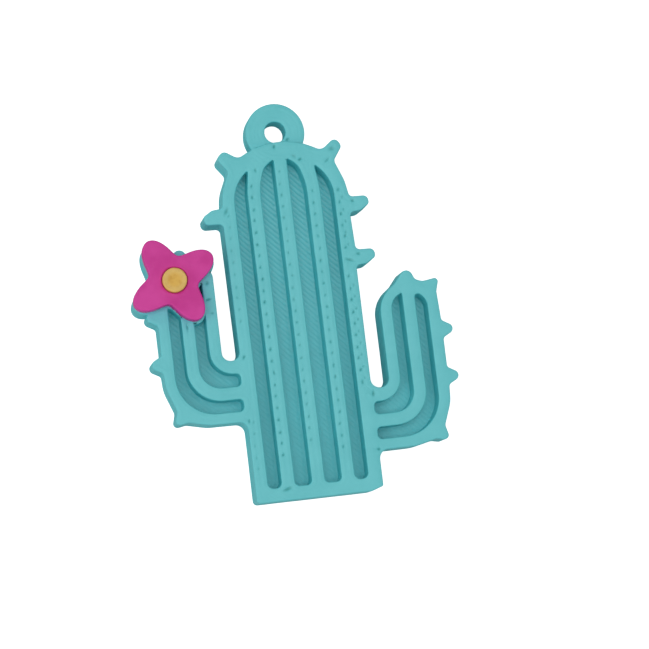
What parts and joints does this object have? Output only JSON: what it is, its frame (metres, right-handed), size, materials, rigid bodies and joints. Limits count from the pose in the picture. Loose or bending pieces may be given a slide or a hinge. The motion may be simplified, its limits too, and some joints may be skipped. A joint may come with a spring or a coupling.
{
  "type": "cactus charm",
  "caption": "Flat printed saguaro-shaped charm with ribbed trunk, upturned arms, blunt thorns, a flower on one arm and an eyelet for hanging on a key ring or bag.",
  "frame": {"origin": "middle of the box's underside: on the flat back, at the middle of the overall width and length", "axes": "+X across to the viewer's right, +Y along the trunk towards the eyelet, +Z out of the flat back towards the ribbed face"},
  "size_m": [0.0358, 0.0452, 0.006],
  "materials": {
    "teal_plastic": "matte, fine print lines",
    "magenta_plastic": "satin, smooth",
    "yellow_plastic": "satin, smooth"
  },
  "bodies": {
    "root": {"cactus": "teal_plastic", "flower": "magenta_plastic", "flower_centre": "yellow_plastic"}
  },
  "joints": []
}
